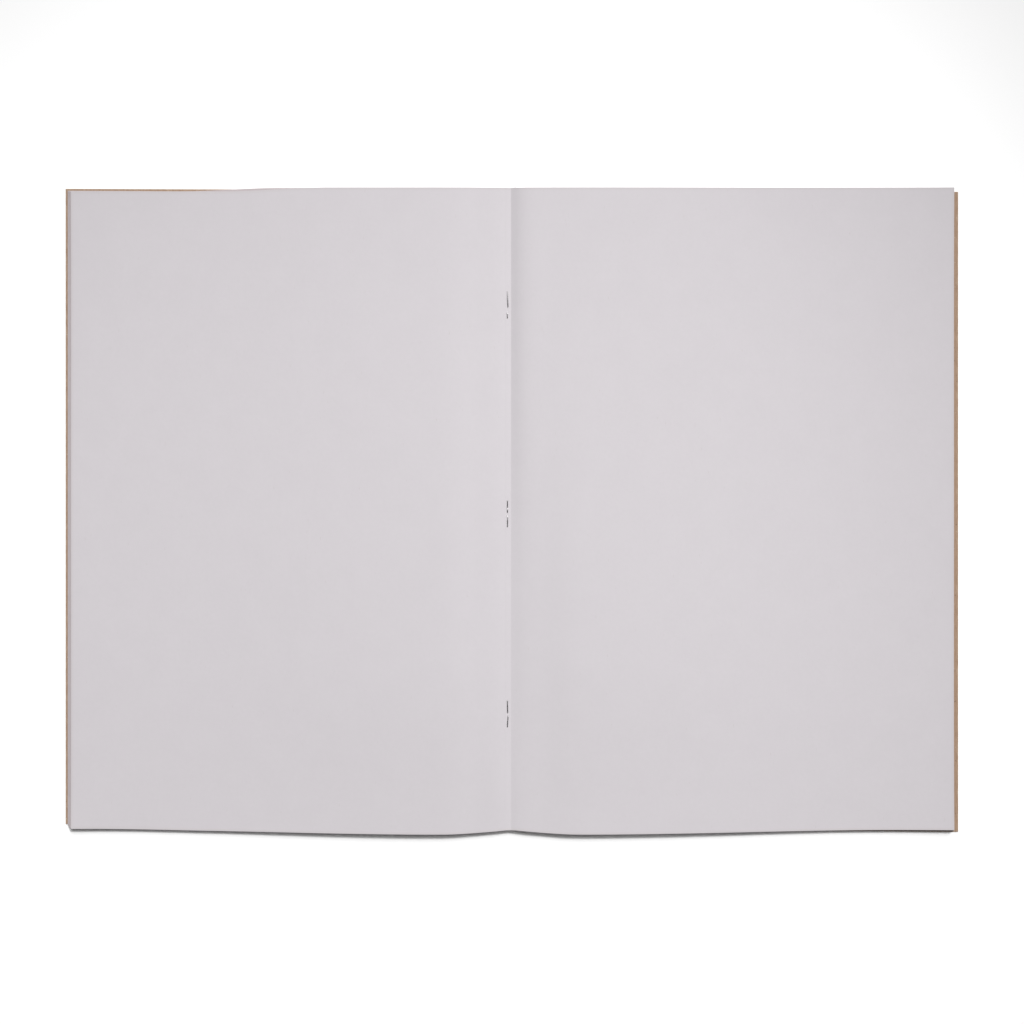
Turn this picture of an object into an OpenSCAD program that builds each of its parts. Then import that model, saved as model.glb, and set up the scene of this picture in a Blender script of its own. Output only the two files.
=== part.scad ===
// A saddle-stitched sketchbook, lying open on a table at its centre spread.
//
// Folded sheets nest inside a folded card cover, and wire staples hold them
// through the fold. The narrow strip of every sheet along the fold stays with
// the staples. The leaf on each side of it is a separate piece that turns, and
// so is each side of the cover.
//
// The fold runs along Y with the head of the pages towards +Y. The front cover
// lies on the left, towards -X. Z is 0 on the table.

/* [Size] */
// Height of the pages and the cover, along the fold
page_h = 297; // [148:1:420]
// Width of one side of the cover, from the fold to the fore-edge
cover_w = 208.5; // [190:0.5:297]

/* [Sheets] */
// Number of folded sheets, each of which gives two leaves
sheets = 10; // [4:1:16]
// Thickness of the drawing paper
paper_t = 0.22; // [0.1:0.01:0.3]
// How far each leaf on the left reaches past the one on top of it
left_step = 0.29; // [0:0.01:0.35]
// How far each leaf on the right reaches past the one on top of it
right_step = 0.1; // [0:0.01:0.35]

/* [Cover] */
// Thickness of the cover card
cover_t = 0.45; // [0.3:0.05:0.8]
// How far the cover reaches past the centre leaf at the fore-edge
cover_margin = 3.5; // [2:0.1:4.5]

/* [Staples] */
// Diameter of the staple wire
wire_d = 0.55; // [0.4:0.05:0.7]
// Length of a staple's crown, outside to outside
crown_w = 12.6; // [10:0.2:16]
// Gap between the tips of the bent-over legs
tip_gap = 1.2; // [0.4:0.1:3]
// Distance of the head and tail staples from the middle of the fold
staple_pitch = 94.8; // [60:0.2:110]
// How far the middle staple sits towards the tail
middle_drop = 2; // [0:0.5:5]
// How far the row of staples sits to the left of the crease
staple_off = 1.4; // [0.8:0.1:1.6]

/* [Spread] */
// Depth of the V that every sheet and the cover are creased to along the fold
crease_d = 0.45; // [0.1:0.05:0.5]
// Height that the top leaf arches above the flat stack
lift = 2.8; // [0.5:0.1:4]
// Distance of the arch's highest line from the fold
arch_peak = 33; // [25:1:50]
// Distance from the fold at which the arch has come down flat
arch_end = 183; // [120:1:185]

/* [Hidden] */
$fn = 48;

air = 0.02;                            // air between pieces that lie on each other
pitch = paper_t + air;                 // from one sheet to the next
fold_l = 2.6;                          // the fold strips reach this far left of the crease
fold_r = 2.4;                          // and this far right of it
turn_gap = 0.05;                       // between a fold strip and the pieces that turn
rise_end = 20;                         // distance from the fold at which the cover is down on the table
turn_clear = 0.15;                     // from the top of the arch to the line the leaves turn about
hinge_z = leaf_bottom(1) + paper_t + lift + turn_clear;

wire_r = wire_d / 2;
bend_r = wire_r + 0.015;               // centre-line radius of a staple's bends
hole_r = wire_r + 0.045;
leg_y = crown_w / 2 - wire_r;          // from a staple's middle to a leg's centre line

// the crowns under the cover hold the edges of its spine strip this far off the table
spine_z = wire_d + air + crease_depth(staple_off - wire_r);
fold_top = spine_z + leaf_bottom(1) + paper_t;
// height of the bent-over legs' centre line, where they lie on the slope beside the crease
tip_z = fold_top - crease_depth(staple_off) + (wire_r + air) / cos(atan(crease_d / fold_l));

arch_steps = 32;                       // flat facets across one arched leaf
crowding = 1.5;                        // over 1 gathers the facets towards the fold

staple_names = ["staple_head", "staple_middle", "staple_tail"];
staple_ys = [staple_pitch, -middle_drop, -staple_pitch];

// ---------------------------------------------------------------- names

function two_digits(k) = k < 10 ? str("0", k) : str(k);
function fold_name(k) = str("sheet_", two_digits(k), "_fold");
function leaf_name(side, k) = str(side, "_leaf_", two_digits(k));

// -------------------------------------------------------------- heights
// Sheet 1 is the centre spread and lies on top. u is the distance from the
// crease, and root is where the piece begins, at the edge of the fold strips.

// 1 at t = 0, easing down to 0 at t = 1 and beyond
function ease(t) = t < 1 ? (1 + cos(180 * max(t, 0))) / 2 : 0;

// underside of leaf k where it lies flat
function leaf_bottom(k) = cover_t + air + (sheets - k) * pitch;

// how far a fold strip's V lies below its edges, at a distance u left of the crease
function crease_depth(u) = crease_d * (1 - u / fold_l);

// what the spine's height above the table adds
function spine_rise(u, root) = spine_z * ease((u - root) / (rise_end - root));

// the arch, from 0 at the fold to 1 along its highest line
function arch(u, root) =
    u < arch_peak ? sin(90 * (u - root) / (arch_peak - root))
                  : ease((u - arch_peak) / (arch_end - arch_peak));

// underside of leaf k: the lower a leaf lies, the less it arches
function leaf_z(k, u, root) =
    leaf_bottom(k) + spine_rise(u, root) + lift * (sheets + 1 - k) / sheets * arch(u, root);

// --------------------------------------------------------------- shapes

// distances from the crease at which an arched or dipping piece has a facet edge
function facet_edges(root, last, steps, width) =
    concat([for (i = [0:steps]) root + (last - root) * pow(i / steps, crowding)], [width]);

// a sheet t thick over the heights zs at the distances us, on the side of sign way
module curved_sheet(us, zs, t, way)
    rotate([90, 0, 0])
        linear_extrude(page_h, center = true)
            polygon(concat(
                [for (i = [0:len(us) - 1]) [way * us[i], zs[i] + t]],
                [for (i = [len(us) - 1:-1:0]) [way * us[i], zs[i]]]
            ));

// a strip along the fold, t thick and creased to a shallow V, with its edges at height z
module creased_strip(z, t)
    difference() {
        rotate([90, 0, 0])
            linear_extrude(page_h, center = true)
                polygon([
                    [-fold_l, z], [0, z - crease_d], [fold_r, z],
                    [fold_r, z + t], [0, z - crease_d + t], [-fold_l, z + t]
                ]);
        for (y = staple_ys, way = [-1, 1])
            translate([-staple_off, y + way * leg_y, 0])
                cylinder(h = tip_z + wire_d, r = hole_r);
    }

// a quarter bend of the wire in the YZ plane, from pointing along -Y to along +Z
module wire_bend()
    rotate([0, -90, 0])
        rotate_extrude(angle = 90)
            translate([bend_r, 0])
                circle(wire_r);

// a straight length of wire along +Y
module wire_along(length)
    rotate([-90, 0, 0])
        cylinder(h = length, r = wire_r);

// one end of a staple, on the +Y side of its middle: half the crown, the leg
// through the fold, and the tip bent back towards the middle
module staple_half() {
    crown_end = leg_y - bend_r;
    wire_along(crown_end);
    translate([0, crown_end, bend_r])
        rotate([-90, 0, 0])
            wire_bend();
    translate([0, leg_y, bend_r])
        cylinder(h = tip_z - wire_r - 2 * bend_r, r = wire_r);
    translate([0, crown_end, tip_z - wire_r - bend_r])
        wire_bend();
    translate([0, tip_gap / 2, tip_z - wire_r])
        wire_along(crown_end - tip_gap / 2);
}

// --------------------------------------------------------------- pieces

module cover_spine()
    color("#A58C78")
        creased_strip(spine_z, cover_t);

module cover_side(way, root)
    color("#A58C78") {
        us = facet_edges(root, rise_end, 12, cover_w);
        curved_sheet(us, [for (u = us) spine_rise(u, root)], cover_t, way);
    }

module front_cover() cover_side(-1, fold_l + turn_gap);

module back_cover() cover_side(1, fold_r + turn_gap);

module sheet_fold(k)
    color("#D6D1D4")
        creased_strip(spine_z + leaf_bottom(k), paper_t);

module leaf(k, way, root, step)
    color("#D8D3D6") {
        width = cover_w - cover_margin + step * (k - 1);
        us = facet_edges(root, arch_end, arch_steps, width);
        curved_sheet(us, [for (u = us) leaf_z(k, u, root)], paper_t, way);
    }

module left_leaf(k) leaf(k, -1, fold_l + turn_gap, left_step);

module right_leaf(k) leaf(k, 1, fold_r + turn_gap, right_step);

module staple(i)
    color("#B9BABD")
        translate([-staple_off, staple_ys[i], wire_r])
            for (way = [0, 1])
                mirror([0, way, 0])
                    staple_half();

// ------------------------------------------------------------- assembly

cover_spine();
front_cover();
back_cover();
for (k = [1:sheets]) {
    sheet_fold(k);
    left_leaf(k);
    right_leaf(k);
}
for (i = [0:2])
    staple(i);
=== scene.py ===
"""A saddle-stitched sketchbook lying open at its centre spread.

Every leaf, both sides of the cover, the strips along the fold and the staples are meshes of their
own, shaped from the heights of the CAD sheets that they stand for. Leaf 1 is on top. In names of
values, u is a distance from the crease, and way is -1 for the left side and 1 for the right.
"""
import math

import bpy
import numpy as np
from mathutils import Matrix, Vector


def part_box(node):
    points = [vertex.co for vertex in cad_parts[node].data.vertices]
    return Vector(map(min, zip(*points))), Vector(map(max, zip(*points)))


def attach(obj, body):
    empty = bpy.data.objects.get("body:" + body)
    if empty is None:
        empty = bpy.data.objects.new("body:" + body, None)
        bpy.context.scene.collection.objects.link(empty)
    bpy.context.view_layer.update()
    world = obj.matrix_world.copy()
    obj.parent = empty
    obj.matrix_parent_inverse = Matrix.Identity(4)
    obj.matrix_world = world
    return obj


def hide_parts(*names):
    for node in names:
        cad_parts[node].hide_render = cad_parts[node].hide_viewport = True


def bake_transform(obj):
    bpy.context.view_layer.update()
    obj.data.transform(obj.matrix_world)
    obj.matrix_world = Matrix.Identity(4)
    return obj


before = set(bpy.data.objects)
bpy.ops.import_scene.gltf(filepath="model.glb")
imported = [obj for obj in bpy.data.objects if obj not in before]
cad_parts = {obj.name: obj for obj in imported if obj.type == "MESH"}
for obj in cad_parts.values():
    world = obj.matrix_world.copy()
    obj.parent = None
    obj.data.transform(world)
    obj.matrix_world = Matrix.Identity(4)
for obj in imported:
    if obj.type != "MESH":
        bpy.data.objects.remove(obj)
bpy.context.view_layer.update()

MM = 0.001
LEFT, RIGHT = -1, 1
SIDE_NAMES = {LEFT: "left", RIGHT: "right"}
COVER_NODES = {LEFT: "front_cover", RIGHT: "back_cover"}
SHEETS = sum(name.startswith("left_leaf_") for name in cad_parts)

# The camera's height over the table, its place, and how wide the picture is where the pages lie.
CAMERA_HEIGHT = 450 * MM
CAMERA_XY = (0.46 * MM, -1.5 * MM)
PICTURE_WIDTH = 475.6 * MM

# How this copy of the book differs from a perfect one.
FORE_EDGE_SHIFT = 0.7 * MM      # every fore-edge lies this far to the right of where it should
FORE_EDGE_JITTER = 0.06 * MM    # and each leaf's own is off by up to this much
TAIL_SHIFT = -0.15 * MM         # every sheet lies this far towards the tail
PAGE_PROUD = 0.5 * MM           # the leaves are this much longer at each end
COVER_PROUD = 0.35 * MM         # and the cover is this much longer
COVER_TAPER = 0.0037            # its right side gets longer, and its left side shorter, by this share
COVER_FORE_EDGES = {LEFT: -0.55 * MM, RIGHT: 0.3 * MM}  # what its sides gain in width
COVER_SKEW = math.radians(-0.345)                       # its slant, which the lower leaves share
# What the left-hand leaves lack at the outer head and tail corners, and where that begins and ends.
HEAD_TRIM, HEAD_TRIM_SPAN = 1.8 * MM, (85 * MM, 135 * MM)
HEAD_TRIM_DELAY = 24 * MM       # the lowest leaf's head trim begins this much farther out
TAIL_TRIM, TAIL_TRIM_SPAN = 0.55 * MM, (140 * MM, 200 * MM)
# How far the arch leans towards the tail for each mm of its height, at the tail and at the head,
# and the same for the slope beside the fold, at the head alone.
LEANS = (0.59, 0.28)
HEAD_SLOPE_LEAN = 0.33
TAIL_DROOP = 0.4                # the share of its height that the arch loses at the tail
TAIL_DROOP_SPAN = (70 * MM, 150 * MM)   # and the distances towards the tail over which it does
CORNER_LIFT = 0.4 * MM          # how far the top leaf's outer corners rise
CORNER_POWERS = (10, 8)         # how suddenly they do, across the leaf and along it
BLEND_END = 6.2 * MM            # the leaves bend between the fold strips and this distance

# The slow waves in the paper: a grid of them, and a slanting wave of less height.
COCKLE = 0.04 * MM              # height of the grid's waves
GRID_WAVES = (17 * MM, 31 * MM)     # wavelengths over 2 pi, across the leaf and along it
GRID_PHASES = (1.3, 0.7)
SLANT_WAVES = (29 * MM, 23 * MM)    # the same for the slanting wave
SLANT_SHARE = 0.6
COCKLE_FADE_IN = 25 * MM        # they reach their full height this far out from the fold strip

# Towards the head, the arch of the right-hand leaves rises at once instead of slowly.
STEEP_SPAN = 7 * MM             # most of the rise is within this distance
STEEP_START = 0.18              # and this share of it lies on the fold strip
STEEP_SPREAD = (-90 * MM, 130 * MM)     # where that begins and where it is complete, along the fold

# The staples' wire, and the length and the sideways turn of each leg, first the one at the head side.
WIRE_RADIUS = 0.23 * MM
WIRE_BEND = 1.15                # radius of the wire's bends, as a multiple of its own radius
WIRE_SIDES = 14
STAPLE_LEGS = {
    "head": ((7.2 * MM, 0.02), (2.6 * MM, -0.02)),
    "middle": ((5.7 * MM, 0.0), (5.6 * MM, 0.01)),
    "tail": ((5.7 * MM, 0.01), (5.4 * MM, 0.04)),
}
TIP_TURN = 1.6                  # a leg's tip turns this much more than the leg
STAPLE_SHIFT = (-0.2 * MM, -0.2 * MM)   # how far the staples sit from where they should, in x and y
PINCH = 0.05 * MM               # how deep the staples press the paper in
PINCH_WIDTH = 0.6 * MM
PINCH_REACH = 1 * MM            # how far past a staple's legs the dent goes
PINCH_FADE = 2 * MM             # the length in which it ends

CREASE_DEPTH = 0.65             # this much of the crease's depth in the CAD
WEAR_AND_SHADE_WIDTH = 2.5 * MM           # wear, dust and painted shade go from 1 at a sheet's edges to 0 this far in
DUST_AND_SHADE_START = 0.86               # dust and painted shade begin above this much edge wear; the top leaves and the fold strips get no more wear than this, so none of either

# How fine the meshes are.
RIM = 0.03 * MM                 # width of the rounding along a sheet's edges
TOWARDS_EDGE = np.array([2 * MM, 1 * MM, 0.4 * MM, RIM, 0])
EDGE_ZONE = 3 * MM              # the finer lines towards an edge begin here
BEND_LINES, PAGE_LINES = 15, 53     # mesh lines across a leaf's bend, and from there outwards
PAGE_CROWDING = 1.35            # over 1 gathers the page's lines towards the bend
LINES_ALONG = 45                # mesh lines from the tail to the head
STRIP_LINES = {LEFT: 14, RIGHT: 13}     # mesh lines on each side of the crease in a fold strip
STAPLE_LINES = range(-8, 9)     # and its extra lines, in mm from the middle of each staple
SAME = MM / 1000                # CAD points nearer than this to a line lie on it

# Colours, which are linear, and tints, which multiply them.
WHITE, BLACK = (1, 1, 1, 1), (0, 0, 0, 1)
PAPER_DARKER, PAPER_PALER = (0.533, 0.506, 0.527, 1), (0.541, 0.514, 0.535, 1)
PAPER_THIN_TINT = (0.982, 0.982, 0.982, 1)
PAPER_FIBRE_TINT = (0.93, 0.92, 0.90, 1)
PAPER_EDGE_TINT = (0.955, 0.945, 0.93, 1)
# dust and painted shade on the edges of leaves that lie under others
DUST_AND_SHADE_TINT = (0.83, 0.785, 0.785, 1)
CARD_DARKER, CARD_PALER = (0.310, 0.208, 0.142, 1), (0.345, 0.236, 0.163, 1)
LONG_FIBRE_TINTS = (0.86, 0.84, 0.81, 1), (1.06, 1.06, 1.06, 1)
CROSS_FIBRE_TINT = (0.88, 0.86, 0.83, 1)
PALE_SPECK, DARK_SPECK = (0.46, 0.37, 0.28, 1), (0.13, 0.085, 0.055, 1)
SCUFFED_CARD = (0.42, 0.33, 0.25, 1)
WIRE_DARKER, WIRE_PALER = (0.40, 0.39, 0.395, 1), (0.56, 0.55, 0.555, 1)
SCRATCH_TINT = (0.7, 0.7, 0.7, 1)
WIRE_GLOSSES = (0.3, 0.3, 0.3, 1), (0.52, 0.52, 0.52, 1)    # its roughness, as greys
TABLE_WHITE = (0.97, 0.97, 0.97, 1)

# The lamps. The key's place is the direction that it shines from.
KEY_STRENGTH, KEY_PLACE, KEY_SIZE = 2.76, (0.35, 0.97, 1.00), math.radians(42)
SPOT_STRENGTH, SPOT_PLACE, SPOT_AIM = 71, (0.46, 0.84, 1.29), (-0.09, -0.15, 0)
SPOT_CONE, SPOT_RADIUS = math.radians(37), 0.10
FILL_STRENGTH = 0.13


# ---------------------------------------------------------------- shader nodes

def new_material(name, roughness, metallic=0.0, specular=0.5):
    """A material with its node tree, and its Principled shader."""
    material = bpy.data.materials.new(name)
    material.use_nodes = True
    tree = material.node_tree
    shader = tree.nodes["Principled BSDF"]
    shader.inputs["Roughness"].default_value = roughness
    shader.inputs["Metallic"].default_value = metallic
    shader.inputs["Specular IOR Level"].default_value = specular
    return material, tree, shader


def add(tree, kind, **values):
    """A node of that kind. A value for an input socket is given by the socket's name."""
    node = tree.nodes.new(kind)
    for name, value in values.items():
        if name in node.inputs:
            node.inputs[name].default_value = value
        else:
            setattr(node, name, value)
    return node


def point_mm(tree, stretch=(1, 1, 1), turn=0.0):
    """The object's own coordinates in millimetres, stretched and turned about Z."""
    where = add(tree, "ShaderNodeTexCoord")
    mapping = add(tree, "ShaderNodeMapping")
    mapping.inputs["Scale"].default_value = [s / MM for s in stretch]
    mapping.inputs["Rotation"].default_value = (0, 0, turn)
    tree.links.new(where.outputs["Object"], mapping.inputs["Vector"])
    return mapping.outputs["Vector"]


def noise(tree, point, size, detail=2.0, roughness=0.5):
    """Noise whose features are about size millimetres across."""
    node = add(tree, "ShaderNodeTexNoise", Scale=1 / size, Detail=detail, Roughness=roughness)
    tree.links.new(point, node.inputs["Vector"])
    return node.outputs["Fac"]


def ramp(tree, value, low, high, from_colour=BLACK, to_colour=WHITE):
    """value's stretch from low to high, turned into colours."""
    node = add(tree, "ShaderNodeValToRGB")
    first, last = node.color_ramp.elements
    first.position, first.color = low, from_colour
    last.position, last.color = high, to_colour
    tree.links.new(value, node.inputs["Fac"])
    return node.outputs["Color"]


def mix(tree, share, a, b, how="MIX"):
    """a mixed with b. Each is a colour or a socket, and so is share."""
    node = add(tree, "ShaderNodeMix", data_type="RGBA", blend_type=how)
    sockets = [s for s in node.inputs if s.enabled]
    for socket, value in zip(sockets, (share, a, b)):
        if isinstance(value, bpy.types.NodeSocket):
            tree.links.new(value, socket)
        else:
            socket.default_value = value
    return next(s for s in node.outputs if s.enabled)


def tinted(tree, colour, tint):
    """colour multiplied by tint."""
    return mix(tree, 1.0, colour, tint, "MULTIPLY")


def bump(tree, shader, heights):
    """Chained bumps on the shader, one for each (height socket, depth in millimetres)."""
    normal = None
    for height, depth in heights:
        node = add(tree, "ShaderNodeBump", Strength=1.0, Distance=depth * MM)
        tree.links.new(height, node.inputs["Height"])
        if normal:
            tree.links.new(normal, node.inputs["Normal"])
        normal = node.outputs["Normal"]
    tree.links.new(normal, shader.inputs["Normal"])


def edge_wear_and_shade(tree):
    """The mesh's own measure of edge wear, dust and painted shade, 1 at an edge of the sheet and 0
    away from it.
    """
    return add(tree, "ShaderNodeAttribute", attribute_name="wear_and_shade").outputs["Fac"]


# ---------------------------------------------------------------- materials

def drawing_paper():
    """Uncoated drawing paper: fine tooth, a faintly cloudy formation, a few fibres, worn edges, and
    dust with painted shade at the edges of leaves that lie under others.
    """
    material, tree, shader = new_material("drawing_paper", 0.92, specular=0.2)
    point = point_mm(tree)
    clouds = noise(tree, point, 11, 3)
    formation = noise(tree, point, 1.8, 3)
    tooth = noise(tree, point, 0.4, 2, 0.6)
    fibres = noise(tree, point_mm(tree, (1, 0.16, 1), 0.5), 0.5, 2)

    colour = mix(tree, ramp(tree, clouds, 0.3, 0.7), PAPER_DARKER, PAPER_PALER)
    colour = tinted(tree, colour, ramp(tree, formation, 0.25, 0.75, PAPER_THIN_TINT, WHITE))
    colour = tinted(tree, colour, ramp(tree, fibres, 0.23, 0.28, PAPER_FIBRE_TINT, WHITE))
    colour = tinted(tree, colour, ramp(tree, edge_wear_and_shade(tree), 0.4, 1.0, WHITE, PAPER_EDGE_TINT))
    # painted shade, with some dust, at the edges of leaves that lie under others
    colour = tinted(tree, colour, ramp(tree, edge_wear_and_shade(tree), DUST_AND_SHADE_START, 0.98, WHITE, DUST_AND_SHADE_TINT))
    tree.links.new(colour, shader.inputs["Base Color"])
    bump(tree, shader, [(formation, 0.012), (tooth, 0.012)])
    return material


def kraft_card():
    """Unbleached kraft card: long fibres, dark and pale flecks, and scuffed edges."""
    material, tree, shader = new_material("kraft_card", 0.78, specular=0.3)
    point = point_mm(tree)
    clouds = noise(tree, point, 9, 3)
    along = noise(tree, point_mm(tree, (1, 0.12, 1), 0.12), 0.45, 3, 0.6)
    across = noise(tree, point_mm(tree, (0.16, 1, 1), -0.25), 0.6, 3, 0.6)
    specks = noise(tree, point, 0.8, 1)

    colour = mix(tree, ramp(tree, clouds, 0.3, 0.7), CARD_DARKER, CARD_PALER)
    colour = tinted(tree, colour, ramp(tree, along, 0.3, 0.7, *LONG_FIBRE_TINTS))
    colour = tinted(tree, colour, ramp(tree, across, 0.25, 0.4, CROSS_FIBRE_TINT, WHITE))
    colour = mix(tree, ramp(tree, specks, 0.72, 0.76), colour, PALE_SPECK)
    colour = mix(tree, ramp(tree, specks, 0.23, 0.27, WHITE, BLACK), colour, DARK_SPECK)
    worn = tinted(tree, edge_wear_and_shade(tree), along)
    colour = mix(tree, ramp(tree, worn, 0.35, 0.7), colour, SCUFFED_CARD)
    tree.links.new(colour, shader.inputs["Base Color"])
    bump(tree, shader, [(clouds, 0.03), (along, 0.03), (specks, 0.012)])
    return material


def staple_wire():
    """Zinc-plated wire: drawn metal with lengthwise scratches and dull patches."""
    material, tree, shader = new_material("staple_wire", 0.4, metallic=1.0)
    patches = noise(tree, point_mm(tree), 0.9, 3)
    scratches = noise(tree, point_mm(tree, (1, 0.06, 1)), 0.08, 2)
    colour = mix(tree, ramp(tree, patches, 0.35, 0.7), WIRE_DARKER, WIRE_PALER)
    colour = tinted(tree, colour, ramp(tree, scratches, 0.3, 0.6, SCRATCH_TINT, WHITE))
    tree.links.new(colour, shader.inputs["Base Color"])
    gloss = ramp(tree, patches, 0.3, 0.7, *WIRE_GLOSSES)
    tree.links.new(gloss, shader.inputs["Roughness"])
    bump(tree, shader, [(scratches, 0.006)])
    return material


PAPER, CARD, WIRE = drawing_paper(), kraft_card(), staple_wire()


# ------------------------------------------------------- shapes from the frame

def cad_points(node):
    return np.array([v.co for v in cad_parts[node].data.vertices])


def cad_profile(node):
    """A CAD sheet's cross-section: distances from the crease, rising, and the undersides there."""
    points = cad_points(node)
    distances = np.unique(np.round(np.abs(points[:, 0]), 7))
    undersides = [points[np.abs(np.abs(points[:, 0]) - u) < SAME, 2].min() for u in distances]
    return distances, np.array(undersides)


def thickness(node):
    """A CAD sheet's thickness, from its flat fore-edge."""
    points = cad_points(node)
    edge = np.abs(points[:, 0]) > np.abs(points[:, 0]).max() - SAME
    return np.ptp(points[edge, 2])


def smooth(profile, at):
    """A smooth curve through a profile's points that never overshoots them, at the places in at."""
    xs, ys = profile
    secants = np.diff(ys) / np.diff(xs)
    before, after = secants[:-1], secants[1:]
    turns = before * after <= 0
    inner = np.where(turns, 0, 2 * before * after / np.where(turns, 1, before + after))
    slopes = np.concatenate([secants[:1], inner, secants[-1:]])
    i = np.clip(np.searchsorted(xs, at, side="right") - 1, 0, len(xs) - 2)
    width = xs[i + 1] - xs[i]
    t = np.clip((at - xs[i]) / width, 0, 1)
    return ((2 * t**3 - 3 * t**2 + 1) * ys[i] + (t**3 - 2 * t**2 + t) * width * slopes[i]
            + (3 * t**2 - 2 * t**3) * ys[i + 1] + (t**3 - t**2) * width * slopes[i + 1])


def smoothstep(t):
    t = np.clip(t, 0, 1)
    return t * t * (3 - 2 * t)


def ramp_up(value, span):
    """0 up to the span's start, rising smoothly to 1 at its end."""
    return smoothstep((value - span[0]) / (span[1] - span[0]))


def steady(*numbers):
    """A number from -1 to 1 that looks random and is always the same for the same numbers."""
    factors, stretch = (12.9898, 78.233), 43758.5453
    value = math.sin(sum(n * f for n, f in zip(numbers, factors))) * stretch
    return 2 * (value - math.floor(value)) - 1


FOLD_LOW, FOLD_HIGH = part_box("sheet_01_fold")
ROOTS = {LEFT: -FOLD_LOW.x, RIGHT: FOLD_HIGH.x}   # where the fold strips end and the leaves begin
PAGE_HALF = FOLD_HIGH.y + PAGE_PROUD
COVER_HALF = FOLD_HIGH.y + COVER_PROUD
PAPER_T = thickness("left_leaf_01")
CARD_T = thickness("front_cover")
STAPLE_BOXES = {place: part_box(f"staple_{place}") for place in STAPLE_LEGS}
STAPLE_YS = {place: STAPLE_SHIFT[1] + (low.y + high.y) / 2
             for place, (low, high) in STAPLE_BOXES.items()}
STAPLE_X = STAPLE_SHIFT[0] + (STAPLE_BOXES["head"][0].x + STAPLE_BOXES["head"][1].x) / 2
STAPLE_HALF = (STAPLE_BOXES["head"][1].y - STAPLE_BOXES["head"][0].y) / 2


def leaf_node(way, k):
    return f"{SIDE_NAMES[way]}_leaf_{k:02d}"


def share(k):
    """How much of leaf 1's arch leaf k has: the lower a leaf lies, the less it arches."""
    return (SHEETS + 1 - k) / SHEETS


def leaf_heights(way, k, us):
    """Leaf k's underside at the distances us, in three parts: flat stack, spine and arch."""
    profile = cad_profile(leaf_node(way, k))
    flat = profile[1][-1]
    spine = smooth(cad_profile(COVER_NODES[way]), us)
    return flat, spine, smooth(profile, us) - flat - spine


def steepness(y):
    """0 at the tail, where the right-hand arch is as in the CAD, to 1 at the head."""
    return ramp_up(y, STEEP_SPREAD)


def steep_arch(us, arch):
    """The arch if it rose at once from the crease, with the same shape from its top outwards."""
    peak = arch.argmax()
    t = (us - us[0]) / STEEP_SPAN
    rise = (1 - np.exp(-t)) / (1 - np.exp(-t[peak]))
    return np.where(us < us[peak], arch[peak] * (STEEP_START + (1 - STEEP_START) * rise), arch)


def near_a_staple(y):
    """1 along a staple, and 0 away from the staples."""
    reach = STAPLE_HALF + PINCH_REACH
    return sum(smoothstep((reach - np.abs(y - middle)) / PINCH_FADE) for middle in STAPLE_YS.values())


# ---------------------------------------------------------------- meshes

def mesh_object(name, vertices, faces, smooth_faces, material):
    """A mesh object whose first smooth_faces faces shade smooth."""
    mesh = bpy.data.meshes.new(name)
    mesh.from_pydata([tuple(v) for v in vertices], [], faces)
    mesh.polygons.foreach_set("use_smooth", [n < smooth_faces for n in range(len(faces))])
    mesh.materials.append(material)
    mesh.update()
    piece = bpy.data.objects.new(name, mesh)
    bpy.context.scene.collection.objects.link(piece)
    return piece


def sheet_object(name, x, y, underside, thick, material, fore_edge_marked=True, most_wear_and_shade=1.0):
    """A closed sheet over a grid, given as tables of x, y and underside with a row for each x.

    Its attribute for edge wear, dust and painted shade is highest, at its given cap, along the edges
    of the paper or card.
    """
    nx, ny = x.shape
    low = np.stack([x, y, underside], -1).reshape(-1, 3)
    high = low + [0, 0, thick]
    count = nx * ny

    def at(i, j):
        return i * ny + j

    top, bottom = [], []
    for i in range(nx - 1):
        for j in range(ny - 1):
            corners = [at(i, j), at(i + 1, j), at(i + 1, j + 1), at(i, j + 1)]
            top.append([c + count for c in corners])
            bottom.append(corners[::-1])
    border = [at(i, 0) for i in range(nx - 1)] + [at(nx - 1, j) for j in range(ny - 1)]
    border += [at(i, ny - 1) for i in range(nx - 1, 0, -1)] + [at(0, j) for j in range(ny - 1, 0, -1)]
    rim = [[a, b, b + count, a + count] for a, b in zip(border, border[1:] + border[:1])]
    faces = top + bottom + rim
    if x[-1, 0] < x[0, 0]:
        faces = [face[::-1] for face in faces]
    piece = mesh_object(name, np.vstack([low, high]), faces, len(top) + len(bottom), material)

    inset = np.minimum(y - y[:, :1], y[:, -1:] - y)
    if fore_edge_marked:
        inset = np.minimum(inset, np.abs(x[-1:] - x))
    # edge wear, dust and painted shade, strongest at the sheet's edges
    wear_and_shade = np.tile(np.clip(1 - inset.reshape(-1) / WEAR_AND_SHADE_WIDTH, 0, most_wear_and_shade), 2).astype(np.float32)
    piece.data.attributes.new("wear_and_shade", "FLOAT", "POINT").data.foreach_set("value", wear_and_shade)
    return piece


def across_sheet(root, width):
    """Distances from the crease for a sheet's mesh: fine in the bend, and fine at the fore-edge."""
    bend = np.concatenate([[root], np.linspace(root + RIM, BLEND_END, BEND_LINES)])
    rest = np.linspace(0, 1, PAGE_LINES)[1:] ** PAGE_CROWDING
    middle = BLEND_END + (width - EDGE_ZONE - BLEND_END) * rest
    return np.concatenate([bend, middle, width - TOWARDS_EDGE])


def along_sheet(half, extra=()):
    """Places along the fold for a sheet's mesh: fine at the head and the tail."""
    inner = np.linspace(-half + EDGE_ZONE, half - EDGE_ZONE, LINES_ALONG)
    ends = half - TOWARDS_EDGE
    return np.unique(np.concatenate([-ends, inner, ends, extra])) + TAIL_SHIFT


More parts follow.
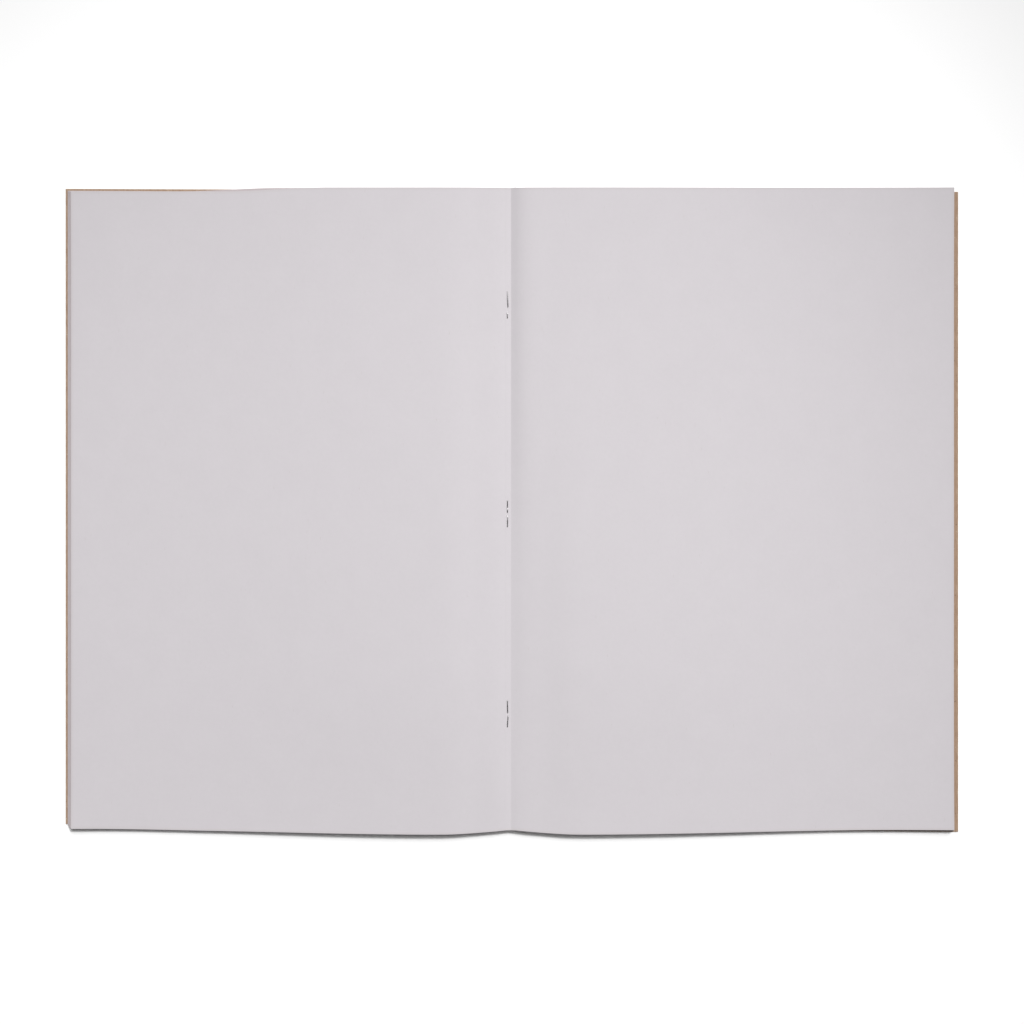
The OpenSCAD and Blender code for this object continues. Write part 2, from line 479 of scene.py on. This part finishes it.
def rounded_path(corners, radius, steps=6):
    """Points along straight lines through the corners, with each inner corner rounded."""
    points = [corners[0]]
    for before, corner, after in zip(corners, corners[1:], corners[2:]):
        to_before = (before - corner).normalized()
        to_after = (after - corner).normalized()
        reach = radius / math.tan(to_before.angle(to_after) / 2)
        first, last = corner + to_before * reach, corner + to_after * reach
        for n in range(steps + 1):
            t = n / steps
            points.append(first * (1 - t) ** 2 + corner * 2 * t * (1 - t) + last * t**2)
    return points + [corners[-1]]


def tube(name, path, radius, sides, material):
    """A wire along the path, with both ends cut to a small chamfer."""
    cut_share, cut_length = 0.6, radius / 2
    first_end = path[0] + (path[0] - path[1]).normalized() * cut_length
    last_end = path[-1] + (path[-1] - path[-2]).normalized() * cut_length
    points = [first_end] + path + [last_end]
    vertices, faces = [], []
    for n, point in enumerate(points):
        size = radius * (cut_share if n in (0, len(points) - 1) else 1)
        ahead = (points[min(n + 1, len(points) - 1)] - points[max(n - 1, 0)]).normalized()
        side = Vector((1, 0, 0))
        side = (side - ahead * side.dot(ahead)).normalized()
        up = ahead.cross(side)
        for s in range(sides):
            angle = 2 * math.pi * s / sides
            vertices.append(point + (side * math.cos(angle) + up * math.sin(angle)) * size)
    for n in range(len(points) - 1):
        for s in range(sides):
            a, b = n * sides + s, n * sides + (s + 1) % sides
            faces.append([a, b, b + sides, a + sides])
    last_ring = (len(points) - 1) * sides
    caps = [list(range(sides))[::-1], [last_ring + s for s in range(sides)]]
    return mesh_object(name, vertices, faces + caps, len(faces), material)


# ---------------------------------------------------------------- pieces

def slow_waves(way, u, y):
    """How far the paper's slow waves raise it."""
    across = np.sin(u / GRID_WAVES[0] + GRID_PHASES[0] * way)
    along = np.sin(y / GRID_WAVES[1] + GRID_PHASES[1] * way)
    slant = np.sin(u / SLANT_WAVES[0] + y / SLANT_WAVES[1] + way)
    waves = COCKLE * (across * along + SLANT_SHARE * slant)
    return waves * np.clip((u - ROOTS[way]) / COCKLE_FADE_IN, 0, 1)


def leaf(way, k):
    """Leaf k of one side: its CAD arch, leaning towards the tail, with slow waves."""
    node, root = leaf_node(way, k), ROOTS[way]
    cad_width = cad_profile(node)[0][-1]
    width = cad_width + way * FORE_EDGE_SHIFT + FORE_EDGE_JITTER * steady(k, way)
    us, ys = across_sheet(root, width), along_sheet(PAGE_HALF)
    u, y = np.meshgrid(us, ys, indexing="ij")
    flat, spine, arch = (np.reshape(part, (-1, 1)) for part in leaf_heights(way, k, us))
    if way == RIGHT:
        steep = steep_arch(us, arch[:, 0])[:, None]
        arch = arch + (steep - arch) * steepness(y)

    across, along = CORNER_POWERS
    corners = CORNER_LIFT * np.clip(u / width, 0, 1) ** across * np.abs(y / PAGE_HALF) ** along
    droop = TAIL_DROOP * ramp_up(-y, TAIL_DROOP_SPAN)
    underside = flat + spine + arch * (1 - droop) + share(k) * (slow_waves(way, u, y) + corners)

    x = way * u
    towards_head, towards_tail = np.clip(y / PAGE_HALF, 0, 1), np.clip(-y / PAGE_HALF, 0, 1)
    lean = np.interp(y, (-PAGE_HALF, PAGE_HALF), LEANS)
    y = y - lean * arch + HEAD_SLOPE_LEAN * towards_head * (spine[0] - spine)
    if way == LEFT:
        from_span = u - HEAD_TRIM_DELAY * (1 - share(k))
        y = y - HEAD_TRIM * towards_head * ramp_up(from_span, HEAD_TRIM_SPAN)
        y = y + TAIL_TRIM * towards_tail * ramp_up(u, TAIL_TRIM_SPAN)
    y = y + x * math.tan(COVER_SKEW) * (1 - share(k))
    # The leaves under the top one get dust and painted shade at their edges; the top leaf gets
    # neither.
    piece = sheet_object(f"page_{SIDE_NAMES[way]}_{k:02d}", x, y, underside, PAPER_T, PAPER,
                         most_wear_and_shade=1.0 if k > 1 else DUST_AND_SHADE_START)
    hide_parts(node)
    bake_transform(piece)


def cover_side(way):
    """One side of the cover: its CAD dip from the spine to the table, slightly skewed."""
    node, root = COVER_NODES[way], ROOTS[way]
    profile = cad_profile(node)
    us = across_sheet(root, profile[0][-1] + COVER_FORE_EDGES[way])
    u, y = np.meshgrid(us, along_sheet(COVER_HALF), indexing="ij")
    y = y * (1 + way * COVER_TAPER * u / us[-1])
    underside = np.repeat(smooth(profile, us)[:, None], y.shape[1], axis=1)
    x = way * u
    piece = sheet_object(f"cover_{SIDE_NAMES[way]}", x, y + x * math.tan(COVER_SKEW), underside,
                         CARD_T, CARD)
    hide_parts(node)
    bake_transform(piece)


def fold_strip(node, name, half, thick, raised=0.0):
    """A strip along the fold that the staples hold: creased, and raised at its right edge."""
    low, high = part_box(node)
    edge_z = high.z - thick
    left = np.linspace(low.x + RIM, 0, STRIP_LINES[LEFT])
    right = np.linspace(0, high.x - RIM, STRIP_LINES[RIGHT])
    near_staples = [y + step * MM for y in STAPLE_YS.values() for step in STAPLE_LINES]
    xs = np.concatenate([[low.x], left, right[1:], [high.x]])
    ys = along_sheet(half, near_staples)
    x, y = np.meshgrid(xs, ys, indexing="ij")
    depth = CREASE_DEPTH * (edge_z - low.z) * (1 - np.abs(x) / np.where(x < 0, -low.x, high.x))
    lift = raised * np.clip(x / high.x, 0, 1) * steepness(y)
    pinch = PINCH * np.exp(-((x - STAPLE_X) / PINCH_WIDTH) ** 2) * near_a_staple(y)
    slot, material = ("cover_card", CARD) if node == "cover_spine" else ("drawing_paper", PAPER)
    # the fold strips get edge wear but no dust or painted shade
    piece = sheet_object(name, x, y, edge_z - depth + lift - pinch, thick, material,
                         fore_edge_marked=False, most_wear_and_shade=DUST_AND_SHADE_START)
    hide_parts(node)
    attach(piece, "spine")


def page_fold(k):
    """Sheet k's strip along the fold, which meets the first edge of its right-hand leaf."""
    arch = leaf_heights(RIGHT, k, cad_profile(leaf_node(RIGHT, k))[0])[2]
    fold_strip(f"sheet_{k:02d}_fold", f"page_fold_{k:02d}", PAGE_HALF, PAPER_T,
               raised=STEEP_START * arch.max())


def staple(place):
    """One wire staple: its crown under the spine, and its legs up through the fold and bent over."""
    node = f"staple_{place}"
    low, high = STAPLE_BOXES[place]
    middle = STAPLE_YS[place]
    halves = []
    for way, (length, turn) in zip((1, -1), STAPLE_LEGS[place]):
        leg_y = middle + way * (STAPLE_HALF - WIRE_RADIUS)
        foot = Vector((STAPLE_X, leg_y, low.z + WIRE_RADIUS))
        bend = Vector((STAPLE_X, leg_y, high.z - WIRE_RADIUS))
        knee = bend + Vector((turn / 2, -way / 2, 0)) * length
        tip = bend + Vector((turn * TIP_TURN, -way, 0)) * (length - WIRE_RADIUS)
        halves.append([tip, knee, bend, foot])
    path = rounded_path(halves[0] + halves[1][::-1], WIRE_RADIUS * WIRE_BEND)
    piece = tube(f"staple_wire_{place}", path, WIRE_RADIUS, WIRE_SIDES, WIRE)
    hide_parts(node)
    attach(piece, "spine")


for side in SIDE_NAMES:
    cover_side(side)
    for number in range(1, SHEETS + 1):
        leaf(side, number)
fold_strip("cover_spine", "cover_spine_strip", COVER_HALF, CARD_T)
for number in range(1, SHEETS + 1):
    page_fold(number)
for place in STAPLE_LEGS:
    staple(place)


# ---------------------------------------------------------------- studio

def table_top():
    """A plain pale floor."""
    material, tree, shader = new_material("table", 0.95, specular=0.1)
    shader.inputs["Base Color"].default_value = TABLE_WHITE
    half = 4.0
    mesh = bpy.data.meshes.new("table")
    mesh.from_pydata([(-half, -half, 0), (half, -half, 0), (half, half, 0), (-half, half, 0)], [],
                     [(0, 1, 2, 3)])
    mesh.materials.append(material)
    piece = bpy.data.objects.new("table", mesh)
    bpy.context.scene.collection.objects.link(piece)


def light(name, kind, strength, place, aim=(0, 0, 0), **settings):
    """A lamp at place that faces aim."""
    lamp = bpy.data.lights.new(name, kind)
    lamp.energy = strength
    for key, value in settings.items():
        setattr(lamp, key, value)
    thing = bpy.data.objects.new(name, lamp)
    thing.location = place
    thing.rotation_euler = (Vector(aim) - Vector(place)).to_track_quat("-Z", "Y").to_euler()
    bpy.context.scene.collection.objects.link(thing)


def studio():
    """A wide soft key from beyond the head, a spot that falls off towards the corners, and a fill."""
    light("key", "SUN", KEY_STRENGTH, KEY_PLACE, angle=KEY_SIZE)
    light("spot", "SPOT", SPOT_STRENGTH, SPOT_PLACE, aim=SPOT_AIM, spot_size=SPOT_CONE, spot_blend=1.0,
          shadow_soft_size=SPOT_RADIUS)
    world = bpy.data.worlds.new("fill")
    bpy.context.scene.world = world
    world.use_nodes = True
    background = world.node_tree.nodes["Background"]
    background.inputs["Color"].default_value = WHITE
    background.inputs["Strength"].default_value = FILL_STRENGTH


def camera():
    """Straight down, over the middle of the spread."""
    data = bpy.data.cameras.new("camera")
    page_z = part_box("left_leaf_01")[0].z + PAPER_T
    data.sensor_width = 36
    data.lens = data.sensor_width * (CAMERA_HEIGHT - page_z) / PICTURE_WIDTH
    data.clip_start = 0.01
    thing = bpy.data.objects.new("camera", data)
    thing.location = (*CAMERA_XY, CAMERA_HEIGHT)
    bpy.context.scene.collection.objects.link(thing)
    bpy.context.scene.camera = thing


table_top()
studio()
camera()
bpy.context.scene.view_settings.view_transform = "Standard"
